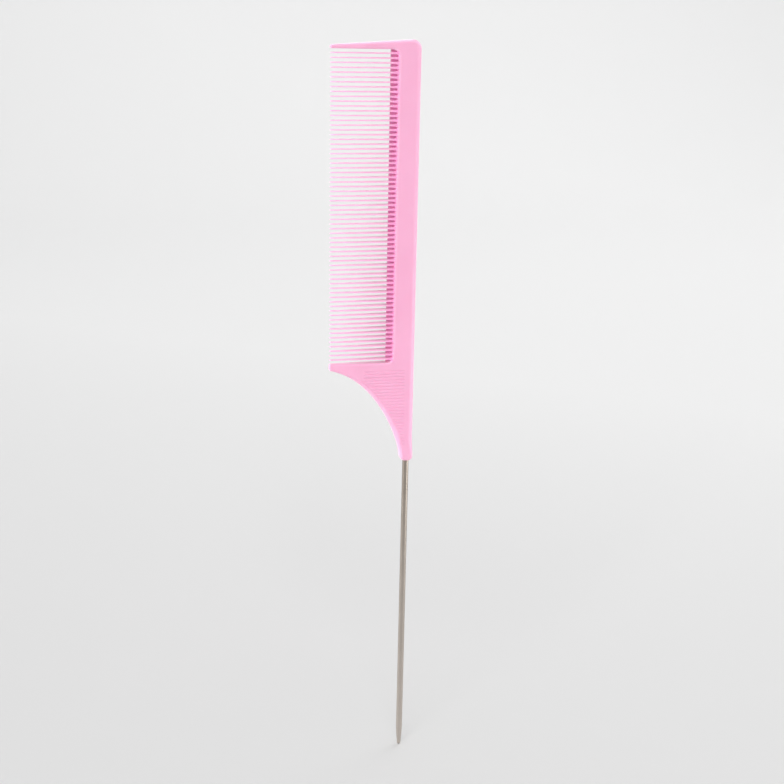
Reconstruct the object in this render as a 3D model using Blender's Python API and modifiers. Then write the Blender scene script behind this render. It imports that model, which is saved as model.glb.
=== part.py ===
"""Rat tail comb: a moulded fine-tooth comb body with a steel tail pin moulded into its end.

The comb is upright on the tip of its tail. +Z runs up the comb from the tail's tip to the head,
the teeth point to -X, the back of the comb is at +X, and Y is the thickness. The origin is under
the middle of the whole comb's box, level with the tail's tip. Everything is in metres.

An inset is a distance from the back edge towards the teeth, so a point's x is BACK_X - inset.
"""
import math

import bmesh
import bpy
from mathutils import Matrix, Vector

MM = 0.001

# Whole comb
COMB_LENGTH = 230.0 * MM
COMB_WIDTH = 28.0 * MM
BACK_THICKNESS = 4.0 * MM
FIT_GAP = 0.3 * MM
BACK_X = COMB_WIDTH / 2

# Outline of the moulded body
NOSE_Z = 99.4 * MM
NOSE_WIDTH = 4.0 * MM
NOSE_CORNER = 1.2 * MM
NOSE_LEAN_DEG = 83.0
HEAD_CORNER = 2.8 * MM
HEAD_SLOPE_DEG = 4.0
GUARD_CORNER = 0.6 * MM
TAIL_GUARD_WIDTH = 27.2 * MM
TAIL_GUARD_Z = 130.0 * MM
SHOULDER_START_DEG = 13.0
SHOULDER_START_PULL = 14.3 * MM
SHOULDER_END_PULL = 7.8 * MM
EDGE_ROUNDING = 0.5 * MM

# Section of the moulded body
THINNING_INSET = 17.0 * MM
GUARD_TIP_THICKNESS = 1.6 * MM
GUARD_TIP_ROUNDING = 0.7 * MM
TRIM_SPARE = 0.02 * MM
SECTION_SPARE = 0.05 * MM

# Teeth, the slots between them, and the thin web that joins their roots
SLOT_COUNT = 68
SLOT_PITCH = 1.41 * MM
FIRST_SLOT_Z = 226.6 * MM
TOOTH_WIDTH_AT_ROOT = 0.50 * MM
TOOTH_WIDTH_AT_TIP = 0.36 * MM
TOOTH_THICKNESS_AT_ROOT = 3.4 * MM
TOOTH_THICKNESS_AT_TIP = 1.0 * MM
ROOT_INSET = 7.3 * MM
END_SLOT_SHORTER = 0.9 * MM
WEB_INSET = 9.2 * MM
WEB_THICKNESS = 0.8 * MM
STEP_WIDTH = 0.8 * MM
STEP_REACH = 4.0
FIELD_CORNER = 1.3 * MM
FIELD_SPARE = 0.1 * MM

# Grip ribs: fine grooves cut into both faces
GROOVE_COUNT = 25
GROOVE_PITCH = 1.0 * MM
TOP_GROOVE_Z = 129.0 * MM
GROOVE_WIDTH = 0.5 * MM
GROOVE_DEPTH = 0.2 * MM
GROOVE_PROUD = 0.1 * MM
GROOVE_START_INSET = 3.0 * MM
GROOVE_EDGE_MARGIN = 0.6 * MM

# Tail pin, with the part of its shank that is moulded in
PIN_DIAMETER = 2.0 * MM
PIN_INSET = 1.9 * MM
PIN_TOP_Z = 126.0 * MM
PIN_TAPER_LENGTH = 6.5 * MM
PIN_TIP_DIAMETER = 1.15 * MM
PIN_TAPER_BULGE = 0.05 * MM
PIN_TOP_CHAMFER = 0.3 * MM
ANCHOR_CORE_DIAMETER = 1.2 * MM
ANCHOR_LENGTH = 1.8 * MM
ANCHOR_PITCH = 4.0 * MM
ANCHOR_COUNT = 3
TOP_ANCHOR_Z = 123.0 * MM
PIN_SIDES = 28

# How many straight pieces make each kind of curve
CORNER_STEPS = 4
HEAD_STEPS = 8
BACK_STEPS = 10
GUARD_TIP_STEPS = 6
FIELD_CORNER_STEPS = 4
SHOULDER_STEPS = 18
SHOULDER_LOOKUP_STEPS = 60
PIN_TIP_STEPS = 6

# How far cutters reach past what they cut
CUT_REACH = 10.0 * MM
WELD_DISTANCE = 0.001 * MM

# Looks
BODY_PINK = (0.93, 0.42, 0.62, 1.0)
PIN_STEEL = (0.44, 0.41, 0.38, 1.0)


# ---------------------------------------------------------------- points on outlines

def arc(centre, radius, start_deg, end_deg, steps):
    """Points along an arc, both ends included."""
    points = []
    for step in range(steps + 1):
        angle = math.radians(start_deg + (end_deg - start_deg) * step / steps)
        x = centre[0] + radius * math.cos(angle)
        y = centre[1] + radius * math.sin(angle)
        points.append((x, y))
    return points


def shoulder_ends():
    """Where the concave shoulder leaves the tail-side guard, and where it meets the nose."""
    guard_centre = Vector((BACK_X - TAIL_GUARD_WIDTH + GUARD_CORNER, TAIL_GUARD_Z))
    nose_centre = Vector((BACK_X - NOSE_WIDTH + NOSE_CORNER, NOSE_Z + NOSE_CORNER))
    start_angle = math.radians(270.0 - SHOULDER_START_DEG)
    end_angle = math.radians(270.0 - NOSE_LEAN_DEG)
    start = guard_centre + GUARD_CORNER * Vector((math.cos(start_angle), math.sin(start_angle)))
    end = nose_centre + NOSE_CORNER * Vector((math.cos(end_angle), math.sin(end_angle)))
    return start, end


def shoulder(steps):
    """The concave edge from the tail-side guard's tip down to the nose, as a cubic curve."""
    start, end = shoulder_ends()
    start_angle = math.radians(-SHOULDER_START_DEG)
    end_angle = math.radians(-NOSE_LEAN_DEG)
    pull_a = start + SHOULDER_START_PULL * Vector((math.cos(start_angle), math.sin(start_angle)))
    pull_b = end - SHOULDER_END_PULL * Vector((math.cos(end_angle), math.sin(end_angle)))
    points = []
    for step in range(steps + 1):
        u = step / steps
        v = 1.0 - u
        point = v ** 3 * start + 3 * v * v * u * pull_a + 3 * v * u * u * pull_b + u ** 3 * end
        points.append((point.x, point.y))
    return points


def shoulder_inset(z):
    """How far the shoulder's edge is from the back edge at height z."""
    points = shoulder(SHOULDER_LOOKUP_STEPS)
    for (x_a, z_a), (x_b, z_b) in zip(points, points[1:]):
        if z_b <= z <= z_a:
            share = (z_a - z) / (z_a - z_b)
            return BACK_X - (x_a + share * (x_b - x_a))
    return TAIL_GUARD_WIDTH


def tip_x(z):
    """The line of the tooth tips, which closes in a little towards the tail."""
    share = (COMB_LENGTH - z) / (COMB_LENGTH - TAIL_GUARD_Z)
    return -COMB_WIDTH / 2 + share * (COMB_WIDTH - TAIL_GUARD_WIDTH)


def body_outline():
    """The moulded body's edge seen from its face, anticlockwise, as (x, z) points."""
    nose_right = (BACK_X - NOSE_CORNER, NOSE_Z + NOSE_CORNER)
    nose_left = (BACK_X - NOSE_WIDTH + NOSE_CORNER, NOSE_Z + NOSE_CORNER)
    head = (BACK_X - HEAD_CORNER, COMB_LENGTH - HEAD_CORNER)
    head_drop = (COMB_WIDTH - HEAD_CORNER) * math.tan(math.radians(HEAD_SLOPE_DEG))
    head_guard_z = COMB_LENGTH - head_drop - GUARD_CORNER
    head_guard = (tip_x(COMB_LENGTH) + GUARD_CORNER, head_guard_z)
    tail_guard = (tip_x(TAIL_GUARD_Z) + GUARD_CORNER, TAIL_GUARD_Z)
    head_end = 90.0 + HEAD_SLOPE_DEG
    shoulder_start = 270.0 - SHOULDER_START_DEG
    points = arc(nose_right, NOSE_CORNER, -90.0, 0.0, CORNER_STEPS)
    points += arc(head, HEAD_CORNER, 0.0, head_end, HEAD_STEPS)
    points += arc(head_guard, GUARD_CORNER, head_end, 180.0, CORNER_STEPS)
    points += arc(tail_guard, GUARD_CORNER, 180.0, shoulder_start, CORNER_STEPS)
    points += shoulder(SHOULDER_STEPS)[1:-1]
    points += arc(nose_left, NOSE_CORNER, 270.0 - NOSE_LEAN_DEG, 270.0, CORNER_STEPS)
    return points


def section_ring(z):
    """The body's section at height z: a round back, flat faces, then thinning to rounded tips.

    It reaches a spare past the outline on both edges, which leaves a narrow flat along each.
    """
    half = BACK_THICKNESS / 2
    tip_half = GUARD_TIP_THICKNESS / 2
    tip = tip_x(z) - SECTION_SPARE
    back = BACK_X + SECTION_SPARE
    ring = arc((back - half, 0.0), half, -90.0, 90.0, BACK_STEPS)
    ring.append((BACK_X - THINNING_INSET, half))
    for cosine, sine in arc((0.0, 0.0), 1.0, 90.0, -90.0, GUARD_TIP_STEPS):
        ring.append((tip + GUARD_TIP_ROUNDING * (1.0 - cosine), tip_half * sine))
    ring.append((BACK_X - THINNING_INSET, -half))
    return [Vector((x, y, z)) for x, y in ring]


# ---------------------------------------------------------------- meshes and objects

def clear_scene():
    for item in list(bpy.data.objects):
        bpy.data.objects.remove(item, do_unlink=True)


def collection(name):
    made = bpy.data.collections.new(name)
    bpy.context.scene.collection.children.link(made)
    return made


def material(name, colour, roughness, metallic):
    made = bpy.data.materials.new(name)
    made.use_nodes = True
    shader = made.node_tree.nodes["Principled BSDF"]
    shader.inputs["Base Color"].default_value = colour
    shader.inputs["Roughness"].default_value = roughness
    shader.inputs["Metallic"].default_value = metallic
    made.diffuse_color = colour
    return made


def add_object(name, mesh, group):
    made = bpy.data.objects.new(name, mesh)
    group.objects.link(made)
    return made


def as_cutter(cutter):
    cutter.hide_render = True
    cutter.display_type = "WIRE"
    return cutter


def flat_plate(name, outline, thickness, rounding, group):
    """A closed plate from (x, z) points, centred on Y = 0: a filled 2D curve made into a mesh."""
    curve = bpy.data.curves.new(name + "_curve", "CURVE")
    curve.dimensions = "2D"
    curve.fill_mode = "BOTH"
    curve.extrude = thickness / 2 - rounding
    curve.bevel_depth = rounding
    curve.bevel_resolution = 1
    curve.offset = -rounding
    spline = curve.splines.new("POLY")
    spline.points.add(len(outline) - 1)
    for point, (x, z) in zip(spline.points, outline):
        point.co = (x, z, 0.0, 1.0)
    spline.use_cyclic_u = True
    drawn = add_object(name + "_curve", curve, group)
    depsgraph = bpy.context.evaluated_depsgraph_get()
    mesh = bpy.data.meshes.new_from_object(drawn.evaluated_get(depsgraph))
    mesh.name = name
    bpy.data.objects.remove(drawn, do_unlink=True)
    mesh.transform(Matrix.Rotation(math.radians(90.0), 4, "X"))
    tidy_mesh(mesh)
    return add_object(name, mesh, group)


def tidy_mesh(mesh):
    """Weld loose caps and face every side outwards."""
    shape = bmesh.new()
    shape.from_mesh(mesh)
    bmesh.ops.remove_doubles(shape, verts=shape.verts, dist=WELD_DISTANCE)
    bmesh.ops.recalc_face_normals(shape, faces=shape.faces)
    shape.to_mesh(mesh)
    shape.free()


def loft(shape, ring_a, ring_b):
    """A closed solid between two rings of the same number of points."""
    verts_a = [shape.verts.new(point) for point in ring_a]
    verts_b = [shape.verts.new(point) for point in ring_b]
    count = len(verts_a)
    for i in range(count):
        j = (i + 1) % count
        shape.faces.new((verts_a[i], verts_a[j], verts_b[j], verts_b[i]))
    shape.faces.new(list(reversed(verts_a)))
    shape.faces.new(verts_b)


def object_from(shape, name, group):
    bmesh.ops.recalc_face_normals(shape, faces=shape.faces)
    mesh = bpy.data.meshes.new(name)
    shape.to_mesh(mesh)
    shape.free()
    return add_object(name, mesh, group)


def boolean(target, cutter, operation):
    step = target.modifiers.new(operation.title() + "_" + cutter.name, "BOOLEAN")
    step.operation = operation
    step.solver = "EXACT"
    step.object = cutter


def turned(name, profile, x, group):
    """A round solid about the vertical line at x, from a profile that runs down its outer side."""
    mesh = bpy.data.meshes.new(name)
    edges = [(i, i + 1) for i in range(len(profile) - 1)]
    mesh.from_pydata([(radius, 0.0, z) for radius, z in profile], edges, [])
    made = add_object(name, mesh, group)
    made.location = (x, 0.0, 0.0)
    screw = made.modifiers.new("Turn", "SCREW")
    screw.axis = "Z"
    screw.angle = 2 * math.pi
    screw.steps = PIN_SIDES
    screw.render_steps = PIN_SIDES
    screw.use_merge_vertices = True
    screw.merge_threshold = WELD_DISTANCE
    screw.use_smooth_shade = True
    return made


# ---------------------------------------------------------------- the moulded body

def body_blank(group):
    """The plate with rounded edges, a little too thick until it is trimmed to its section."""
    thickness = BACK_THICKNESS + 2 * TRIM_SPARE
    return flat_plate("comb_body", body_outline(), thickness, EDGE_ROUNDING, group)


def section_envelope(group):
    """A long bar with the body's section. The plate is trimmed to it."""
    shape = bmesh.new()
    loft(shape, section_ring(NOSE_Z - CUT_REACH), section_ring(COMB_LENGTH + CUT_REACH))
    return as_cutter(object_from(shape, "section_envelope", group))


def slot_z(index):
    return FIRST_SLOT_Z - index * SLOT_PITCH


def half_gap(x):
    """Half the space between two teeth, which widens from root to tip as the teeth narrow."""
    root_x = BACK_X - ROOT_INSET
    share = (root_x - x) / (root_x + COMB_WIDTH / 2)
    width = TOOTH_WIDTH_AT_ROOT + share * (TOOTH_WIDTH_AT_TIP - TOOTH_WIDTH_AT_ROOT)
    return (SLOT_PITCH - width) / 2


def slot_ring(index):
    """A slot seen from the head: open through the teeth, and blind each side of the root web."""
    root_inset = ROOT_INSET
    if index in (0, SLOT_COUNT - 1):
        root_inset += END_SLOT_SHORTER
    root_x = BACK_X - root_inset
    web_x = BACK_X - WEB_INSET
    past_tips = -COMB_WIDTH / 2 - CUT_REACH
    past_face = BACK_THICKNESS
    web = WEB_THICKNESS / 2
    return [
        (past_tips, -past_face),
        (root_x, -past_face),
        (root_x, -web),
        (web_x, -web),
        (web_x, web),
        (root_x, web),
        (root_x, past_face),
        (past_tips, past_face),
    ]


def slot_cutters(group):
    """Every slot, as separate solids in one cutter."""
    shape = bmesh.new()
    for index in range(SLOT_COUNT):
        ring = slot_ring(index)
        z = slot_z(index)
        low = [Vector((x, y, z - half_gap(x))) for x, y in ring]
        high = [Vector((x, y, z + half_gap(x))) for x, y in ring]
        loft(shape, low, high)
    return as_cutter(object_from(shape, "slots", group))


def field_outline(grow):
    """The toothed field's edge, as (x, z) points, grown outwards by a width."""
    top = slot_z(0) + half_gap(-COMB_WIDTH / 2) + FIELD_SPARE
    bottom = slot_z(SLOT_COUNT - 1) - half_gap(-COMB_WIDTH / 2) - FIELD_SPARE
    root_x = BACK_X - ROOT_INSET
    past_tips = -COMB_WIDTH / 2 - 2 * CUT_REACH
    radius = FIELD_CORNER + grow
    inner_x = root_x - FIELD_CORNER
    points = [(past_tips, bottom - grow)]
    points += arc((inner_x, bottom + FIELD_CORNER), radius, -90.0, 0.0, FIELD_CORNER_STEPS)
    points += arc((inner_x, top - FIELD_CORNER), radius, 0.0, 90.0, FIELD_CORNER_STEPS)
    points.append((past_tips, top + grow))
    return points


def tooth_face_y(x):
    """Half the teeth's thickness at x, straight from root to tip."""
    root_x = BACK_X - ROOT_INSET
    share = (root_x - x) / (root_x + COMB_WIDTH / 2)
    thickness = TOOTH_THICKNESS_AT_ROOT + share * (TOOTH_THICKNESS_AT_TIP - TOOTH_THICKNESS_AT_ROOT)
    return thickness / 2


def field_cutters(group):
    """Both recesses of the toothed field, with a sloping step down from the back's flat faces."""
    face = BACK_THICKNESS / 2
    step_depth = face - tooth_face_y(BACK_X - ROOT_INSET)
    shape = bmesh.new()
    for side in (-1, 1):
        floor = [Vector((x, side * tooth_face_y(x), z)) for x, z in field_outline(0.0)]
        above = []
        for x, z in field_outline(STEP_WIDTH * STEP_REACH):
            above.append(Vector((x, side * (tooth_face_y(x) + step_depth * STEP_REACH), z)))
        loft(shape, floor, above)
    return as_cutter(object_from(shape, "tooth_field", group))


def groove_cutters(group):
    """The grip's fine grooves on both faces, each a V that runs across from beside the back.

    Each V stands a little proud of the face, so it opens right through the surface.
    """
    face = BACK_THICKNESS / 2
    start_x = BACK_X - GROOVE_START_INSET
    half_mouth = GROOVE_WIDTH / 2 * (GROOVE_DEPTH + GROOVE_PROUD) / GROOVE_DEPTH
    shape = bmesh.new()
    for index in range(GROOVE_COUNT):
        z = TOP_GROOVE_Z - index * GROOVE_PITCH
        end_x = BACK_X - min(THINNING_INSET, shoulder_inset(z) - GROOVE_EDGE_MARGIN)
        for side in (-1, 1):
            vee = [
                (side * (face - GROOVE_DEPTH), z),
                (side * (face + GROOVE_PROUD), z + half_mouth),
                (side * (face + GROOVE_PROUD), z - half_mouth),
            ]
            loft(
                shape,
                [Vector((start_x, y, height)) for y, height in vee],
                [Vector((end_x, y, height)) for y, height in vee],
            )
    return as_cutter(object_from(shape, "grip_grooves", group))


def comb_body(parts, cutters):
    body = body_blank(parts)
    boolean(body, section_envelope(cutters), "INTERSECT")
    boolean(body, field_cutters(cutters), "DIFFERENCE")
    boolean(body, slot_cutters(cutters), "DIFFERENCE")
    boolean(body, groove_cutters(cutters), "DIFFERENCE")
    boolean(body, as_cutter(pin_bore(cutters)), "DIFFERENCE")
    body.data.materials.append(material("pink_plastic", BODY_PINK, 0.42, 0.0))
    return body


# ---------------------------------------------------------------- the tail pin

def shank_profile(gap):
    """The hidden shank's outer side, top to bottom, grown by a gap. Ring grooves anchor it."""
    radius = PIN_DIAMETER / 2 + gap
    core = ANCHOR_CORE_DIAMETER / 2 + gap
    top = PIN_TOP_Z + gap
    profile = [(0.0, top), (radius - PIN_TOP_CHAMFER, top), (radius, top - PIN_TOP_CHAMFER)]
    for index in range(ANCHOR_COUNT):
        z = TOP_ANCHOR_Z - index * ANCHOR_PITCH
        reach = ANCHOR_LENGTH / 2 - gap
        slope = radius - core
        profile += [
            (radius, z + reach + slope / 2),
            (core, z + reach - slope / 2),
            (core, z - reach + slope / 2),
            (radius, z - reach - slope / 2),
        ]
    return profile


def tip_profile():
    """The exposed end, from where it starts to narrow down to its rounded tip."""
    radius = PIN_DIAMETER / 2
    tip_radius = PIN_TIP_DIAMETER / 2
    profile = [(radius, PIN_TAPER_LENGTH)]
    profile.append(((radius + tip_radius) / 2 + PIN_TAPER_BULGE, PIN_TAPER_LENGTH / 2))
    for x, z in arc((0.0, tip_radius), tip_radius, 10.0, -90.0, PIN_TIP_STEPS):
        profile.append((max(x, 0.0), max(z, 0.0)))
    return profile


def tail_pin(group):
    profile = shank_profile(0.0)
    profile.append((PIN_DIAMETER / 2, NOSE_Z))
    profile += tip_profile()
    pin = turned("tail_pin", profile, BACK_X - PIN_INSET, group)
    pin.data.materials.append(material("tail_steel", PIN_STEEL, 0.32, 1.0))
    return pin


def pin_bore(group):
    """The blind hole that the shank sits in: the shank's own shape with a gap all round."""
    radius = PIN_DIAMETER / 2 + FIT_GAP
    below = NOSE_Z - CUT_REACH
    profile = shank_profile(FIT_GAP)
    profile += [(radius, below), (0.0, below)]
    return turned("pin_bore", profile, BACK_X - PIN_INSET, group)


def main():
    clear_scene()
    parts = collection("rat_tail_comb")
    cutters = collection("cutters")
    comb_body(parts, cutters)
    tail_pin(parts)


main()
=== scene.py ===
"""Rat tail comb: the looks. A satin pink moulding and a drawn steel pin on a pale studio sweep.

Everything is in metres, in the row frame: +Z runs up the comb, the teeth point to -X, the back of
the comb is at +X and Y is the thickness. An inset is a distance in from the back edge.
"""
import math

import bmesh
import bpy
from mathutils import Matrix, Vector


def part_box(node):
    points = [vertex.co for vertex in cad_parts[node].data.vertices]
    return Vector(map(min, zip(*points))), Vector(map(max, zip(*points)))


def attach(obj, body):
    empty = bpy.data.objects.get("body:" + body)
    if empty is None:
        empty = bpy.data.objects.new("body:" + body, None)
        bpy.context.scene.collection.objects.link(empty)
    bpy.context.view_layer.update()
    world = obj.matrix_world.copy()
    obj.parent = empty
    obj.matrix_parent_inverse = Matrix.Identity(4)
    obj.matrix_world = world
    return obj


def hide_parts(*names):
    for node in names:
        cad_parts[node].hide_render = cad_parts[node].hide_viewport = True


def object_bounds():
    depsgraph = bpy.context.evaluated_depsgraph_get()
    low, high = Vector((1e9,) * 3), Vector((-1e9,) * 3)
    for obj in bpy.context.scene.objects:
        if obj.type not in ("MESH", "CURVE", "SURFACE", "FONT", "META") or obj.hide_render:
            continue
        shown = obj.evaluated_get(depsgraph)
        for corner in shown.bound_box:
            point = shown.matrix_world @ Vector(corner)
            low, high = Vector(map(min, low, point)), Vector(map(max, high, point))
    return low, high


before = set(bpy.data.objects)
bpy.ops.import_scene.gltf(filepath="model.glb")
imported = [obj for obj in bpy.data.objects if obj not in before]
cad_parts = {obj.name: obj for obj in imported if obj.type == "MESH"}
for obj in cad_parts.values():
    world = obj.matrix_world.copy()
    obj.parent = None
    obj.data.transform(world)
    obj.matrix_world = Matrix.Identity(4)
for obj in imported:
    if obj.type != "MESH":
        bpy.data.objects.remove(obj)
CAD_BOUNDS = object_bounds()

MM = 0.001
BODY_LOW, BODY_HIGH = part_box("comb_body")
PIN_LOW, PIN_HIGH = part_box("tail_pin")

# Where the moulding's edges are
BACK_X = BODY_HIGH.x
HEAD_TIP_X = BODY_LOW.x
HEAD_Z = BODY_HIGH.z
NOSE_Z = BODY_LOW.z
HALF_THICKNESS = BODY_HIGH.y
PIN_X = (PIN_LOW.x + PIN_HIGH.x) / 2
PIN_RADIUS = (PIN_HIGH.x - PIN_LOW.x) / 2

# Outline of the moulding
NOSE_WIDTH = 4.0 * MM
NOSE_CORNER = 1.5 * MM
HEAD_CORNER = 2.8 * MM
HEAD_SLOPE_DEG = 4.0
GUARD_CORNER = 0.6 * MM
TAIL_GUARD_WIDTH = 27.2 * MM
TAIL_GUARD_Z = 130.0 * MM
SHOULDER_START_DEG = 13.0
SHOULDER_END_DEG = 83.0
SHOULDER_START_PULL = 14.3 * MM
SHOULDER_END_PULL = 7.8 * MM

# Edge roundings as (width across the face, depth into the thickness)
BACK_ROUND = (2.0 * MM, 2.0 * MM)
HEAD_ROUND = (1.1 * MM, 1.3 * MM)
SHOULDER_ROUND = (1.6 * MM, 1.8 * MM)
NOSE_ROUND = (0.7 * MM, 0.9 * MM)
GUARD_ROUND = (0.45 * MM, 0.8 * MM)
FIELD_STEP = (0.85 * MM, 0.42 * MM)
ROUND_STEPS = 8
FIELD_LIP = 0.5 * MM
BACK_ROUND_GROWS = 7.0 * MM

# Faces thin down from here to the guard tips
THINNING_INSET = 17.0 * MM
GUARD_TIP_SHARE = 0.4
FACE_STRIPS = 8

# Teeth, slots and root web
SLOT_COUNT = 68
SLOT_PITCH = 1.41 * MM
FIRST_SLOT_Z = 226.6 * MM
ROOT_INSET = 7.3 * MM
FIELD_CORNER = 2.0 * MM
WEB_INSET = 9.2 * MM
WEB_THICKNESS = 0.6 * MM
WEB_EDGE_THICKNESS = 0.15 * MM
WEB_THINNING = 0.9 * MM
WEB_EXTRA_AT_HEAD = 0.3 * MM
TOOTH_WIDTH_AT_ROOT = 0.50 * MM
TOOTH_WIDTH_AT_TIP = 0.42 * MM
TOOTH_THICKNESS_AT_ROOT = 3.7 * MM
TOOTH_THICKNESS_AT_TIP = 1.0 * MM
TOOTH_POINT_LENGTH = 0.9 * MM
ROOT_FLARE = 0.16 * MM
ROOT_FILLET = 0.25 * MM
TOOTH_BURIED = 0.5 * MM
ROOT_CLEARANCE = 0.02 * MM

# Grip grooves
GROOVE_COUNT = 25
GROOVE_PITCH = 1.0 * MM
TOP_GROOVE_Z = 129.0 * MM
GROOVE_WIDTH = 0.6 * MM
GROOVE_DEPTH = 0.2 * MM
GROOVE_START_INSET = 3.0 * MM
GROOVE_END_INSET = 16.8 * MM
GROOVE_EDGE_MARGIN = 1.1 * MM
GROOVE_END_SHARE = 0.1
GROOVE_ARC_STEPS = 6
GROOVE_PROUD = 0.1 * MM
GROOVE_LIFT = 0.02 * MM

# Tail pin
PIN_TAPER_LENGTH = 6.5 * MM
PIN_TIP_RADIUS = 0.575 * MM
PIN_SIDES = 64
PIN_TAPER_BULGE = 0.04 * MM
PIN_TOP_CHAMFER = 0.3 * MM
BORE_GAP = 0.02 * MM

# Distances within which points are one, and edges sharper than these angles stay creased
WELD_DISTANCE = 0.001 * MM
CUT_TOLERANCE = 0.0001 * MM
BODY_CREASE_DEG = 38.0
PIN_CREASE_DEG = 50.0

# Colours: the moulding's two tones, the painted light that pales its thin teeth, the painted shade
# in its webbed slots, then the pin
PINK_SHADES = ((0.80, 0.38, 0.56, 1.0), (0.82, 0.405, 0.585, 1.0))
TOOTH_PAINTED_LIGHT_PINK = (0.95, 0.53, 0.83, 1.0)
SLOT_PAINTED_SHADE_PINK = (0.85, 0.325, 0.595, 1.0)
TOOTH_PAINTED_LIGHT_SHARES = (0.15, 0.5)
STEEL_AT_TIP = (0.61, 0.55, 0.50, 1.0)
STEEL_AT_GRIP = (0.29, 0.25, 0.21, 1.0)

# How far cloudy patches shift the pin's darkening towards the grip, out of 1
GRIP_DARKENING_UNEVENNESS = 0.25

# Sweep's painted shade: how fast its tone rises towards the back, and its tone level with the comb
GRADE_RATE = 0.6
GRADE_START = 0.1
GRADE_TURN_DEG = -50.0

# Camera: a short telephoto, a little left of square on and a little above the comb's head
CAMERA_FROM_MIDDLE = Vector((-0.11047, -0.4472, 0.1243))
CAMERA_AZIMUTH_DEG = -14.74
CAMERA_ELEVATION_DEG = 14.26
CAMERA_ROLL_DEG = 1.25
CAMERA_LENS = 69.6


# ---------------------------------------------------------------- outline of the moulding

def unit(degrees):
    angle = math.radians(degrees)
    return Vector((math.cos(angle), math.sin(angle)))


def tip_x(z):
    """The line of the tooth tips, which closes in a little towards the tail."""
    share = (HEAD_Z - z) / (HEAD_Z - TAIL_GUARD_Z)
    return HEAD_TIP_X + share * (BACK_X - TAIL_GUARD_WIDTH - HEAD_TIP_X)


def slot_z(index):
    return FIRST_SLOT_Z - index * SLOT_PITCH


def half_gap(x):
    """Half the space between two teeth, which widens towards the tips."""
    share = (BACK_X - ROOT_INSET - x) / (BACK_X - ROOT_INSET - HEAD_TIP_X)
    width = TOOTH_WIDTH_AT_ROOT + share * (TOOTH_WIDTH_AT_TIP - TOOTH_WIDTH_AT_ROOT)
    return (SLOT_PITCH - width) / 2


class Rim:
    """The moulding's edge: points, the way out of the plastic at each, and the rounding there."""

    def __init__(self):
        self.points = []

    def add(self, point, normal, rounding):
        self.points.append((Vector(point), Vector(normal).normalized(), rounding))

    def arc(self, centre, radius, start_deg, end_deg, steps, start_round, end_round=None):
        """An arc. One that turns clockwise is concave, so plastic lies outside its circle."""
        end_round = end_round or start_round
        side = 1.0 if end_deg > start_deg else -1.0
        for step in range(steps + 1):
            share = step / steps
            direction = unit(start_deg + (end_deg - start_deg) * share)
            rounding = mix_round(start_round, end_round, share)
            self.add(Vector(centre) + radius * direction, side * direction, rounding)

    def line(self, end, steps, end_round):
        """Points from the last one towards end, which itself is left to what follows."""
        start, normal, start_round = self.points[-1]
        for step in range(1, steps):
            share = step / steps
            point = start.lerp(Vector(end), share)
            self.add(point, normal, mix_round(start_round, end_round, share))


def mix_round(a, b, share):
    return (a[0] + share * (b[0] - a[0]), a[1] + share * (b[1] - a[1]))


def shoulder_points(steps):
    """The concave edge from the tail-side guard down to the nose: points and outward normals."""
    start = Vector((BACK_X - TAIL_GUARD_WIDTH + GUARD_CORNER, TAIL_GUARD_Z))
    start += GUARD_CORNER * unit(270.0 - SHOULDER_START_DEG)
    end = Vector((BACK_X - NOSE_WIDTH + NOSE_CORNER, NOSE_Z + NOSE_CORNER))
    end += NOSE_CORNER * unit(270.0 - SHOULDER_END_DEG)
    pull_a = start + SHOULDER_START_PULL * unit(-SHOULDER_START_DEG)
    pull_b = end - SHOULDER_END_PULL * unit(-SHOULDER_END_DEG)
    found = []
    for step in range(steps + 1):
        u = step / steps
        v = 1.0 - u
        point = v ** 3 * start + 3 * v * v * u * pull_a + 3 * v * u * u * pull_b + u ** 3 * end
        along = v * v * (pull_a - start) + 2 * v * u * (pull_b - pull_a) + u * u * (end - pull_b)
        found.append((point, Vector((along.y, -along.x)).normalized()))
    return found


def shoulder_x(z):
    """The shoulder's edge at height z."""
    found = shoulder_points(80)
    for (a, _), (b, _) in zip(found, found[1:]):
        if b.y <= z <= a.y:
            return a.lerp(b, (a.y - z) / (a.y - b.y)).x
    return BACK_X - TAIL_GUARD_WIDTH


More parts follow.
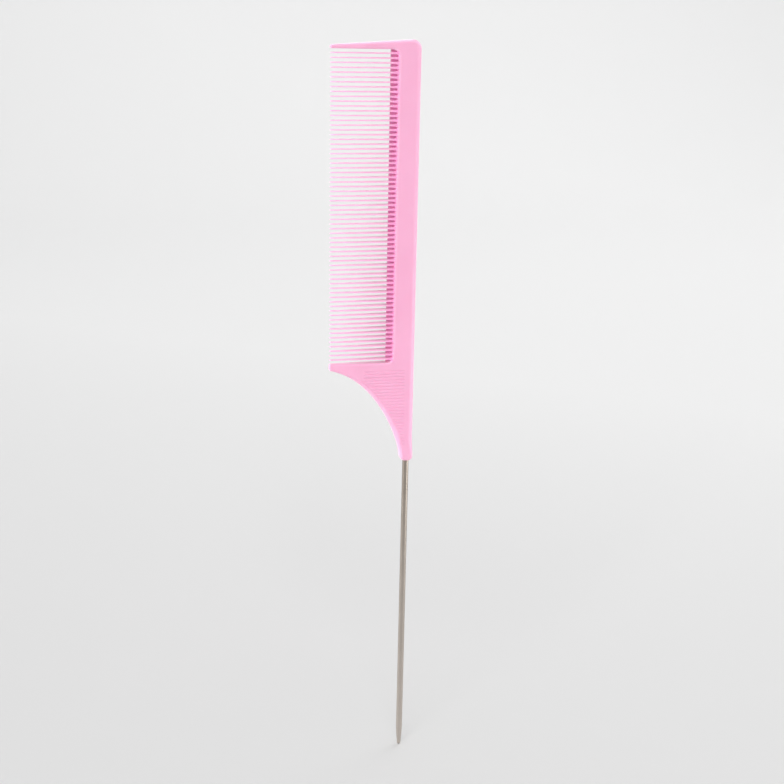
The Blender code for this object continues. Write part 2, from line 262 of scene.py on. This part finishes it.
def body_rim():
    """Anticlockwise round the back, both guards and the toothed field's three sides."""
    rim = Rim()
    nose_r = (BACK_X - NOSE_CORNER, NOSE_Z + NOSE_CORNER)
    nose_l = (BACK_X - NOSE_WIDTH + NOSE_CORNER, NOSE_Z + NOSE_CORNER)
    rim.arc(nose_r, NOSE_CORNER, -90.0, 0.0, 8, NOSE_ROUND)
    rim.line((BACK_X, NOSE_Z + BACK_ROUND_GROWS), 8, BACK_ROUND)
    rim.add((BACK_X, NOSE_Z + BACK_ROUND_GROWS), (1, 0), BACK_ROUND)

    head = (BACK_X - HEAD_CORNER, HEAD_Z - HEAD_CORNER)
    rim.line((BACK_X, head[1]), 12, BACK_ROUND)
    rim.arc(head, HEAD_CORNER, 0.0, 90.0 + HEAD_SLOPE_DEG, 16, BACK_ROUND, HEAD_ROUND)

    drop = (BACK_X - HEAD_CORNER - HEAD_TIP_X) * math.tan(math.radians(HEAD_SLOPE_DEG))
    head_guard = Vector((tip_x(HEAD_Z) + GUARD_CORNER, HEAD_Z - drop - GUARD_CORNER))
    guard_top = head_guard + GUARD_CORNER * unit(90.0 + HEAD_SLOPE_DEG)
    rim.line(guard_top, 14, GUARD_ROUND)
    rim.arc(head_guard, GUARD_CORNER, 90.0 + HEAD_SLOPE_DEG, 180.0, 6, GUARD_ROUND)

    field_top = slot_z(0) + half_gap(HEAD_TIP_X)
    field_bottom = slot_z(SLOT_COUNT - 1) - half_gap(HEAD_TIP_X)
    root_x = BACK_X - ROOT_INSET
    lip = (tip_x(field_top) + FIELD_LIP, field_top + FIELD_LIP)
    rim.arc(lip, FIELD_LIP, 180.0, 270.0, 5, GUARD_ROUND)
    inner = (root_x - FIELD_CORNER, field_top - FIELD_CORNER)
    rim.line((inner[0], field_top), 10, FIELD_STEP)
    rim.arc(inner, FIELD_CORNER, 90.0, 0.0, 6, FIELD_STEP)
    inner = (root_x - FIELD_CORNER, field_bottom + FIELD_CORNER)
    rim.line((root_x, inner[1]), 4, FIELD_STEP)
    rim.arc(inner, FIELD_CORNER, 0.0, -90.0, 6, FIELD_STEP)
    lip = (tip_x(field_bottom) + FIELD_LIP, field_bottom - FIELD_LIP)
    rim.line((lip[0], field_bottom), 10, GUARD_ROUND)
    rim.arc(lip, FIELD_LIP, 90.0, 180.0, 5, GUARD_ROUND)

    tail_guard = (tip_x(TAIL_GUARD_Z) + GUARD_CORNER, TAIL_GUARD_Z)
    rim.arc(tail_guard, GUARD_CORNER, 180.0, 270.0 - SHOULDER_START_DEG, 6, GUARD_ROUND)
    shoulder = shoulder_points(40)
    for number, (point, normal) in enumerate(shoulder[1:-1], start=1):
        grown = mix_round(GUARD_ROUND, SHOULDER_ROUND, min(1.0, number / 10))
        left = len(shoulder) - 1 - number
        rim.add(point, normal, mix_round(NOSE_ROUND, grown, min(1.0, left / 10)))
    rim.arc(nose_l, NOSE_CORNER, 270.0 - SHOULDER_END_DEG, 270.0, 8, NOSE_ROUND)
    return rim.points


# ---------------------------------------------------------------- mesh helpers

def object_from(shape, name):
    bmesh.ops.recalc_face_normals(shape, faces=shape.faces)
    mesh = bpy.data.meshes.new(name)
    shape.to_mesh(mesh)
    shape.free()
    made = bpy.data.objects.new(name, mesh)
    bpy.context.scene.collection.objects.link(made)
    return made


def bridge(shape, ring_a, ring_b):
    count = len(ring_a)
    for i in range(count):
        j = (i + 1) % count
        corners = []
        for vert in (ring_a[i], ring_a[j], ring_b[j], ring_b[i]):
            if vert not in corners:
                corners.append(vert)
        if len(corners) > 2:
            shape.faces.new(corners)


def loft(shape, rings):
    """A closed solid through rings of the same number of points."""
    made = [[shape.verts.new(point) for point in ring] for ring in rings]
    for a, b in zip(made, made[1:]):
        bridge(shape, a, b)
    shape.faces.new(list(reversed(made[0])))
    shape.faces.new(made[-1])


def combine(target, other, operation):
    """A Boolean, applied at once, after which the other object is removed."""
    step = target.modifiers.new(operation, "BOOLEAN")
    step.operation = operation
    step.solver = "EXACT"
    step.object = other
    apply_modifiers(target)
    bpy.data.objects.remove(other, do_unlink=True)


def apply_modifiers(target):
    depsgraph = bpy.context.evaluated_depsgraph_get()
    depsgraph.update()
    mesh = bpy.data.meshes.new_from_object(target.evaluated_get(depsgraph))
    target.modifiers.clear()
    old = target.data
    target.data = mesh
    bpy.data.meshes.remove(old)


def soften(target, sharp_deg):
    """Smooth shading whose normals follow the larger faces, with creases above an angle."""
    target.data.shade_smooth()
    target.data.set_sharp_from_angle(angle=math.radians(sharp_deg))
    weigh = target.modifiers.new("Weighted_normals", "WEIGHTED_NORMAL")
    weigh.keep_sharp = True
    weigh.weight = 90
    apply_modifiers(target)


# ---------------------------------------------------------------- the moulding

def half_thickness_at(x):
    """Half the moulding's thickness at x: full at the back, thin at the guard tips."""
    start = BACK_X - THINNING_INSET
    share = max(0.0, min(1.0, (start - x) / (start - HEAD_TIP_X)))
    ease = share * share * (3.0 - 2.0 * share)
    blend = 0.6 * share + 0.4 * ease
    return HALF_THICKNESS * (1.0 - blend * (1.0 - GUARD_TIP_SHARE))


def body_frame():
    """Back, guards, shoulder and grip in one piece: half a shell over the rim, then mirrored."""
    rim = body_rim()
    shape = bmesh.new()
    low = [shape.verts.new((p.x, 0.0, p.y)) for p, _, _ in rim]
    previous = low
    for step in range(ROUND_STEPS + 1):
        angle = math.radians(90.0 * step / ROUND_STEPS)
        ring = []
        for place, (point, normal, (width, depth)) in enumerate(rim):
            inner = point - normal * width * (1.0 - math.cos(angle))
            y = HALF_THICKNESS - depth * (1.0 - math.sin(angle))
            if step == 0 and y < WELD_DISTANCE:
                ring.append(low[place])
            else:
                ring.append(shape.verts.new((inner.x, y, inner.y)))
        bridge(shape, previous, ring)
        previous = ring
    shape.faces.new(previous)
    thin_faces(shape)
    body = object_from(shape, "comb_body_looks")
    mirror = body.modifiers.new("Other_side", "MIRROR")
    mirror.use_axis = (False, True, False)
    mirror.use_clip = True
    mirror.merge_threshold = WELD_DISTANCE
    apply_modifiers(body)
    return body


def thin_faces(shape):
    """Cut the faces into strips across the comb, and thin each strip towards the tips."""
    start = BACK_X - THINNING_INSET
    for strip in range(FACE_STRIPS):
        x = start + (HEAD_TIP_X - start) * strip / FACE_STRIPS
        everything = shape.verts[:] + shape.edges[:] + shape.faces[:]
        bmesh.ops.bisect_plane(
            shape,
            geom=everything,
            dist=CUT_TOLERANCE,
            plane_co=(x, 0, 0),
            plane_no=(1, 0, 0),
        )
    for vert in shape.verts:
        vert.co.y *= half_thickness_at(vert.co.x) / HALF_THICKNESS


def tooth_ring(x, z, half_width, half_depth, points=14):
    """A tooth's section: nearly square at the root, rounder towards the point."""
    along = max(0.0, min(1.0, (BACK_X - ROOT_INSET - x) / (BACK_X - ROOT_INSET - HEAD_TIP_X)))
    power = 0.35 + 0.4 * along
    ring = []
    for number in range(points):
        angle = 2 * math.pi * (number + 0.5) / points
        across = math.copysign(abs(math.cos(angle)) ** power, math.cos(angle))
        deep = math.copysign(abs(math.sin(angle)) ** power, math.sin(angle))
        ring.append(Vector((x, half_depth * deep, z + half_width * across)))
    return ring


def tooth(shape, z):
    """One tooth from inside the back to its rounded point, with fillets at its root."""
    root_x = BACK_X - ROOT_INSET
    end_x = tip_x(z)
    length = root_x - end_x
    rings = []

    def section(x):
        share = max(0.0, (root_x - x) / length)
        width = TOOTH_WIDTH_AT_ROOT + share * (TOOTH_WIDTH_AT_TIP - TOOTH_WIDTH_AT_ROOT)
        depth = TOOTH_THICKNESS_AT_ROOT + share * (TOOTH_THICKNESS_AT_TIP - TOOTH_THICKNESS_AT_ROOT)
        flare = max(0.0, 1.0 - (root_x - x) / (WEB_INSET - ROOT_INSET))
        return width / 2 + ROOT_FLARE * flare, depth / 2

    half_width, half_depth = section(root_x)
    widest = SLOT_PITCH / 2 - ROOT_CLEARANCE
    rings.append(tooth_ring(root_x + TOOTH_BURIED, z, widest, half_depth))
    for step in range(5):
        angle = math.radians(90.0 * step / 4)
        x = root_x - ROOT_FILLET * math.sin(angle)
        half_width, half_depth = section(x)
        fillet = min(ROOT_FILLET * (1.0 - math.sin(angle)), widest - half_width)
        rings.append(tooth_ring(x, z, half_width + fillet, half_depth))
    x = BACK_X - WEB_INSET
    rings.append(tooth_ring(x, z, *section(x)))
    for share in (0.4, 0.7):
        x = root_x - share * length
        rings.append(tooth_ring(x, z, *section(x)))
    for step in range(6):
        angle = math.radians(83.0 * step / 5)
        x = end_x + TOOTH_POINT_LENGTH * (1.0 - math.sin(angle))
        half_width, half_depth = section(x)
        rings.append(tooth_ring(x, z, half_width * math.cos(angle), half_depth * math.cos(angle)))
    loft(shape, rings)


def all_teeth():
    shape = bmesh.new()
    for index in range(SLOT_COUNT - 1):
        tooth(shape, slot_z(index) - SLOT_PITCH / 2)
    return object_from(shape, "teeth")


def root_web():
    """The thin plate that closes the slots' inner ends and thins towards the teeth."""
    inner = BACK_X - ROOT_INSET + 1.0 * MM
    low = (slot_z(SLOT_COUNT - 1) - SLOT_PITCH, 0.0)
    high = (slot_z(0) + SLOT_PITCH, WEB_EXTRA_AT_HEAD)
    rings = []
    for z, extra in (low, high):
        outer = BACK_X - WEB_INSET - extra
        upper = [(inner, WEB_THICKNESS / 2), (outer + WEB_THINNING, WEB_THICKNESS / 2)]
        upper.append((outer, WEB_EDGE_THICKNESS / 2))
        section = upper + [(x, -y) for x, y in reversed(upper)]
        rings.append([Vector((x, y, z)) for x, y in section])
    shape = bmesh.new()
    loft(shape, rings)
    return object_from(shape, "root_web")


def grip_grooves():
    """Shallow rounded grooves on both faces of the shoulder."""
    shape = bmesh.new()
    for index in range(GROOVE_COUNT):
        z = TOP_GROOVE_Z - index * GROOVE_PITCH
        start_x = BACK_X - GROOVE_START_INSET
        end_x = max(shoulder_x(z) + GROOVE_EDGE_MARGIN, BACK_X - GROOVE_END_INSET)
        run_out = min(GROOVE_WIDTH, (start_x - end_x) / 3)
        for side in (-1, 1):
            rings = []
            for x, depth in (
                (start_x, 0.0),
                (start_x - run_out, 1.0),
                (end_x + run_out, 1.0),
                (end_x, 0.0),
            ):
                rings.append(groove_ring(x, z, side, depth))
            loft(shape, rings)
    return object_from(shape, "grip_grooves")


def groove_ring(x, z, side, share):
    """A groove's section: an arc below the face, closed above it."""
    reach = GROOVE_DEPTH * (GROOVE_END_SHARE + (1.0 - GROOVE_END_SHARE) * share)
    outside = side * (HALF_THICKNESS + GROOVE_PROUD)
    ring = []
    for step in range(GROOVE_ARC_STEPS + 1):
        across = -1.0 + 2.0 * step / GROOVE_ARC_STEPS
        depth = reach * (1.0 - across * across) - GROOVE_LIFT
        ring.append(Vector((x, side * (HALF_THICKNESS - depth), z + across * GROOVE_WIDTH / 2)))
    ring.append(Vector((x, outside, z + GROOVE_WIDTH / 2)))
    ring.append(Vector((x, outside, z - GROOVE_WIDTH / 2)))
    return ring


def round_bar(name, profile, x, sides):
    """A solid turned about the vertical line at x, from (radius, height) pairs, low to high."""
    shape = bmesh.new()
    rings = []
    for radius, z in profile:
        ring = []
        for side in range(sides):
            angle = 2 * math.pi * side / sides
            ring.append(Vector((x + radius * math.cos(angle), radius * math.sin(angle), z)))
        rings.append(ring)
    loft(shape, rings)
    return object_from(shape, name)


def pin_hole():
    radius = PIN_RADIUS + BORE_GAP
    top = PIN_HIGH.z + 0.1 * MM
    return round_bar("pin_hole", [(radius, NOSE_Z - 1 * MM), (radius, top)], PIN_X, 48)


def comb_body():
    body = body_frame()
    combine(body, grip_grooves(), "DIFFERENCE")
    combine(body, pin_hole(), "DIFFERENCE")
    teeth = all_teeth()
    combine(teeth, root_web(), "UNION")
    combine(body, teeth, "UNION")
    soften(body, BODY_CREASE_DEG)
    return body


# ---------------------------------------------------------------- the tail pin

def tail_pin():
    """The whole pin: its shank in the grip, the bare tail, and the narrowed, rounded end."""
    profile = [(0.02 * MM, PIN_LOW.z)]
    for step in range(1, 9):
        angle = math.radians(90.0 * step / 8)
        z = PIN_LOW.z + PIN_TIP_RADIUS * (1.0 - math.cos(angle))
        profile.append((PIN_TIP_RADIUS * math.sin(angle), z))
    for step in range(1, 9):
        share = step / 8
        bulge = PIN_TAPER_BULGE * math.sin(math.pi * share)
        radius = PIN_TIP_RADIUS + share * (PIN_RADIUS - PIN_TIP_RADIUS) + bulge
        z = PIN_LOW.z + PIN_TIP_RADIUS + share * (PIN_TAPER_LENGTH - PIN_TIP_RADIUS)
        profile.append((min(radius, PIN_RADIUS), z))
    profile.append((PIN_RADIUS, PIN_HIGH.z - PIN_TOP_CHAMFER))
    profile.append((PIN_RADIUS - PIN_TOP_CHAMFER, PIN_HIGH.z))
    pin = round_bar("tail_pin_looks", profile, PIN_X, PIN_SIDES)
    soften(pin, PIN_CREASE_DEG)
    return pin


# ---------------------------------------------------------------- materials

class Nodes:
    """A new material and short calls to add and join its nodes."""

    def __init__(self, name):
        self.material = bpy.data.materials.new(name)
        self.material.use_nodes = True
        self.tree = self.material.node_tree
        self.shader = self.tree.nodes["Principled BSDF"]

    def add(self, kind, **settings):
        node = self.tree.nodes.new(kind)
        for key, value in settings.items():
            if key in node.inputs:
                node.inputs[key].default_value = value
            else:
                setattr(node, key, value)
        return node

    def join(self, source, target):
        self.tree.links.new(source, target)


def limit(made, value, operation, edge):
    """1 where value is less or greater than edge, and 0 elsewhere."""
    test = made.add("ShaderNodeMath", operation=operation)
    test.inputs[1].default_value = edge
    made.join(value, test.inputs[0])
    return test.outputs["Value"]


def product(made, first, *others):
    """All the given values multiplied together."""
    for other in others:
        both = made.add("ShaderNodeMath", operation="MULTIPLY")
        made.join(first, both.inputs[0])
        made.join(other, both.inputs[1])
        first = both.outputs["Value"]
    return first


def field_shares(made, place):
    """How much painted light pales the teeth, rising to their tips, and where painted shade darkens
    the slots' webbed ends.
    """
    split = made.add("ShaderNodeSeparateXYZ")
    made.join(place.outputs["Object"], split.inputs["Vector"])
    x = split.outputs["X"]
    along = made.add("ShaderNodeMapRange")
    along.inputs["From Min"].default_value = BACK_X - ROOT_INSET
    along.inputs["From Max"].default_value = HEAD_TIP_X
    along.inputs["To Min"].default_value = TOOTH_PAINTED_LIGHT_SHARES[0]
    along.inputs["To Max"].default_value = TOOTH_PAINTED_LIGHT_SHARES[1]
    made.join(x, along.inputs["Value"])
    above = limit(made, split.outputs["Z"], "GREATER_THAN", slot_z(SLOT_COUNT - 1))
    below = limit(made, split.outputs["Z"], "LESS_THAN", slot_z(0))
    beyond_web = limit(made, x, "LESS_THAN", BACK_X - WEB_INSET)
    within_web = limit(made, x, "GREATER_THAN", BACK_X - WEB_INSET)
    beyond_back = limit(made, x, "LESS_THAN", BACK_X - ROOT_INSET)
    pale = product(made, along.outputs["Result"], above, below, beyond_web)
    webbed = product(made, within_web, above, below, beyond_back)
    return pale, webbed


def pink_plastic():
    """Satin moulded plastic: faint flow clouding, teeth paled with painted light, painted shade in
    the slots' webbed ends, and a fine skin.
    """
    made = Nodes("pink_plastic")
    shader = made.shader
    shader.inputs["Metallic"].default_value = 0.0
    shader.inputs["IOR"].default_value = 1.49
    shader.inputs["Subsurface Weight"].default_value = 0.3
    shader.inputs["Subsurface Radius"].default_value = (1.0, 0.5, 0.65)
    shader.inputs["Subsurface Scale"].default_value = 0.0005
    shader.inputs["Sheen Weight"].default_value = 0.6
    shader.inputs["Sheen Roughness"].default_value = 0.35
    place = made.add("ShaderNodeTexCoord")
    cloud = made.add("ShaderNodeTexNoise", Scale=90.0, Detail=3.0, Roughness=0.55)
    made.join(place.outputs["Object"], cloud.inputs["Vector"])
    tint = made.add("ShaderNodeValToRGB")
    tint.color_ramp.elements[0].position = 0.3
    tint.color_ramp.elements[0].color = PINK_SHADES[0]
    tint.color_ramp.elements[1].position = 0.7
    tint.color_ramp.elements[1].color = PINK_SHADES[1]
    made.join(cloud.outputs["Fac"], tint.inputs["Fac"])
    # Painted light: the teeth are painted paler towards their tips, standing in for light shining
    # through the thin plastic.
    pale = made.add("ShaderNodeMix", data_type="RGBA")
    pale.inputs["B"].default_value = TOOTH_PAINTED_LIGHT_PINK
    painted_light_share, slot_painted_shade_share = field_shares(made, place)
    made.join(painted_light_share, pale.inputs["Factor"])
    made.join(tint.outputs["Color"], pale.inputs["A"])
    # Painted shade: the slots' webbed ends get a darker, deeper pink, where shade and light bounced
    # inside the slots fall.
    deep = made.add("ShaderNodeMix", data_type="RGBA")
    deep.inputs["B"].default_value = SLOT_PAINTED_SHADE_PINK
    made.join(slot_painted_shade_share, deep.inputs["Factor"])
    made.join(pale.outputs["Result"], deep.inputs["A"])
    made.join(deep.outputs["Result"], shader.inputs["Base Color"])

    skin = made.add("ShaderNodeTexNoise", Scale=2600.0, Detail=2.0, Roughness=0.6)
    made.join(place.outputs["Object"], skin.inputs["Vector"])
    gloss = made.add("ShaderNodeMapRange")
    gloss.inputs["To Min"].default_value = 0.36
    gloss.inputs["To Max"].default_value = 0.5
    made.join(cloud.outputs["Fac"], gloss.inputs["Value"])
    made.join(gloss.outputs["Result"], shader.inputs["Roughness"])
    bump = made.add("ShaderNodeBump", Strength=0.12, Distance=0.00002)
    made.join(skin.outputs["Fac"], bump.inputs["Height"])
    made.join(bump.outputs["Normal"], shader.inputs["Normal"])
    return made.material


def drawn_steel():
    """Drawn wire: long fine draw marks, uneven polish, and a base colour that turns darker and
    warmer towards the grip.
    """
    made = Nodes("tail_steel")
    shader = made.shader
    shader.inputs["Metallic"].default_value = 1.0
    place = made.add("ShaderNodeTexCoord")
    stretch = made.add("ShaderNodeMapping")
    stretch.inputs["Scale"].default_value = (1.0, 1.0, 0.02)
    made.join(place.outputs["Object"], stretch.inputs["Vector"])
    marks = made.add("ShaderNodeTexNoise", Scale=9000.0, Detail=2.0, Roughness=0.6)
    made.join(stretch.outputs["Vector"], marks.inputs["Vector"])
    cloud = made.add("ShaderNodeTexNoise", Scale=160.0, Detail=3.0, Roughness=0.5)
    made.join(place.outputs["Object"], cloud.inputs["Vector"])
    split = made.add("ShaderNodeSeparateXYZ")
    made.join(place.outputs["Object"], split.inputs["Vector"])
    height = made.add("ShaderNodeMapRange")
    height.inputs["From Max"].default_value = NOSE_Z
    height.inputs["To Max"].default_value = 1.0 - GRIP_DARKENING_UNEVENNESS
    made.join(split.outputs["Z"], height.inputs["Value"])
    grip_darkening = made.add("ShaderNodeMath", operation="MULTIPLY_ADD")
    grip_darkening.inputs[1].default_value = GRIP_DARKENING_UNEVENNESS
    made.join(cloud.outputs["Fac"], grip_darkening.inputs[0])
    made.join(height.outputs["Result"], grip_darkening.inputs[2])
    tint = made.add("ShaderNodeValToRGB")
    tint.color_ramp.elements[0].color = STEEL_AT_TIP
    tint.color_ramp.elements[1].color = STEEL_AT_GRIP
    made.join(grip_darkening.outputs["Value"], tint.inputs["Fac"])
    made.join(tint.outputs["Color"], shader.inputs["Base Color"])
    polish = made.add("ShaderNodeMapRange")
    polish.inputs["To Min"].default_value = 0.24
    polish.inputs["To Max"].default_value = 0.42
    made.join(marks.outputs["Fac"], polish.inputs["Value"])
    made.join(polish.outputs["Result"], shader.inputs["Roughness"])
    bump = made.add("ShaderNodeBump", Strength=0.15, Distance=0.00001)
    made.join(marks.outputs["Fac"], bump.inputs["Height"])
    made.join(bump.outputs["Normal"], shader.inputs["Normal"])
    return made.material


def painted_shade_paper():
    """The sweep: matte paper, with painted shade that makes it a little darker near the camera and
    on the left.
    """
    made = Nodes("sweep")
    shader = made.shader
    shader.inputs["Roughness"].default_value = 0.9
    shader.inputs["Specular IOR Level"].default_value = 0.2
    place = made.add("ShaderNodeTexCoord")
    along = made.add("ShaderNodeMapping")
    along.inputs["Location"].default_value = (GRADE_START, 0.0, 0.0)
    along.inputs["Rotation"].default_value = (0.0, 0.0, math.radians(GRADE_TURN_DEG))
    along.inputs["Scale"].default_value = (GRADE_RATE, GRADE_RATE, GRADE_RATE)
    made.join(place.outputs["Object"], along.inputs["Vector"])
    grade = made.add("ShaderNodeTexGradient")
    made.join(along.outputs["Vector"], grade.inputs["Vector"])
    tint = made.add("ShaderNodeValToRGB")
    tint.color_ramp.elements[0].color = (0.68, 0.68, 0.68, 1.0)
    tint.color_ramp.elements[1].color = (0.93, 0.93, 0.93, 1.0)
    tint.color_ramp.elements.new(0.4).color = (0.86, 0.86, 0.86, 1.0)
    made.join(grade.outputs["Fac"], tint.inputs["Fac"])
    made.join(tint.outputs["Color"], shader.inputs["Base Color"])
    return made.material


# ---------------------------------------------------------------- stage, light and camera

def sweep():
    """A pale floor that curves up into a wall behind the comb."""
    width = 6.0
    front_y = -3.0
    bend_y = 1.2
    radius = 1.0
    height = 3.5
    bend_steps = 24
    profile = [(front_y, 0.0)]
    for step in range(bend_steps + 1):
        direction = unit(-90.0 + 90.0 * step / bend_steps)
        profile.append((bend_y + radius * direction.x, radius + radius * direction.y))
    profile.append((bend_y + radius, height))
    shape = bmesh.new()
    left = [shape.verts.new((-width / 2, y, z)) for y, z in profile]
    right = [shape.verts.new((width / 2, y, z)) for y, z in profile]
    for i in range(len(profile) - 1):
        shape.faces.new((left[i], right[i], right[i + 1], left[i + 1]))
    floor = object_from(shape, "sweep")
    floor.data.shade_smooth()
    floor.data.materials.append(painted_shade_paper())
    return floor


def area_light(name, place, target, size, power, only=None):
    """A softbox, out of sight. With a collection given, it lights only what is in it."""
    lamp = bpy.data.lights.new(name, "AREA")
    lamp.shape = "RECTANGLE"
    lamp.size, lamp.size_y = size
    lamp.energy = power
    made = bpy.data.objects.new(name, lamp)
    made.location = place
    aim = Vector(target) - Vector(place)
    made.rotation_euler = aim.to_track_quat("-Z", "Y").to_euler()
    made.visible_camera = False
    if only:
        made.light_linking.receiver_collection = only
    bpy.context.scene.collection.objects.link(made)
    return made


def overhead_world():
    """A pale studio that is brightest overhead."""
    world = bpy.data.worlds.new("studio")
    world.use_nodes = True
    tree = world.node_tree
    place = tree.nodes.new("ShaderNodeTexCoord")
    split = tree.nodes.new("ShaderNodeSeparateXYZ")
    ramp = tree.nodes.new("ShaderNodeValToRGB")
    ramp.color_ramp.elements[0].color = (0.5, 0.5, 0.5, 1.0)
    ramp.color_ramp.elements[1].color = (0.8, 0.8, 0.8, 1.0)
    background = tree.nodes["Background"]
    background.inputs["Strength"].default_value = 0.88
    tree.links.new(place.outputs["Generated"], split.inputs["Vector"])
    tree.links.new(split.outputs["Z"], ramp.inputs["Fac"])
    tree.links.new(ramp.outputs["Color"], background.inputs["Color"])
    bpy.context.scene.world = world


def lights(comb):
    """The lights on the sweep, and low side lights that are kept off it."""
    overhead_world()
    middle = (0.0, 0.0, 0.12)
    area_light("key", (-0.5, -1.1, 0.95), middle, (0.9, 0.9), 9.0)
    area_light("top", (0.1, 0.1, 1.8), middle, (1.2, 1.2), 4.2)
    area_light("backdrop", (0.7, 0.6, 1.8), (0.6, 1.9, 0.3), (0.8, 0.8), 8.6)
    area_light("fill", (1.2, -0.8, 0.35), middle, (0.6, 0.7), 4.6, comb)
    area_light("low_fill", (0.27, -0.14, 0.05), (0.01, 0.0, 0.1), (0.25, 0.08), 0.28, comb)
    area_light("left", (-1.1, 0.0, 0.25), middle, (0.5, 0.4), 13.0, comb)
    area_light("right_rim", (1.1, 0.15, 0.8), middle, (0.6, 0.6), 3.4, comb)


def camera():
    """The scene's camera, placed from the middle of the comb's box and turned by three angles."""
    azimuth = math.radians(CAMERA_AZIMUTH_DEG)
    elevation = math.radians(CAMERA_ELEVATION_DEG)
    roll = math.radians(CAMERA_ROLL_DEG)
    back = Vector((
        math.sin(azimuth) * math.cos(elevation),
        -math.cos(azimuth) * math.cos(elevation),
        math.sin(elevation),
    ))
    right = Vector((math.cos(azimuth), math.sin(azimuth), 0.0))
    up = back.cross(right)
    rolled_right = math.cos(roll) * right + math.sin(roll) * up
    rolled_up = math.cos(roll) * up - math.sin(roll) * right
    lens = bpy.data.cameras.new("camera")
    lens.sensor_width = 36.0
    lens.lens = CAMERA_LENS
    lens.clip_start = 0.01
    made = bpy.data.objects.new("camera", lens)
    turn = Matrix((rolled_right, rolled_up, back)).transposed().to_4x4()
    middle = (Vector(CAD_BOUNDS[0]) + Vector(CAD_BOUNDS[1])) / 2
    made.matrix_world = Matrix.Translation(middle + CAMERA_FROM_MIDDLE) @ turn
    bpy.context.scene.collection.objects.link(made)
    bpy.context.scene.camera = made


# ---------------------------------------------------------------- the scene

def dress():
    """The two finished pieces, riding on the comb's one body, and a collection that holds them."""
    body = comb_body()
    body.data.materials.clear()
    body.data.materials.append(pink_plastic())
    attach(body, "root")
    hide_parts("comb_body")

    pin = tail_pin()
    pin.data.materials.append(drawn_steel())
    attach(pin, "root")
    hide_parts("tail_pin")

    pieces = bpy.data.collections.new("comb_pieces")
    pieces.objects.link(body)
    pieces.objects.link(pin)
    return pieces


comb_pieces = dress()
sweep()
lights(comb_pieces)
camera()
bpy.context.scene.view_settings.view_transform = "Standard"
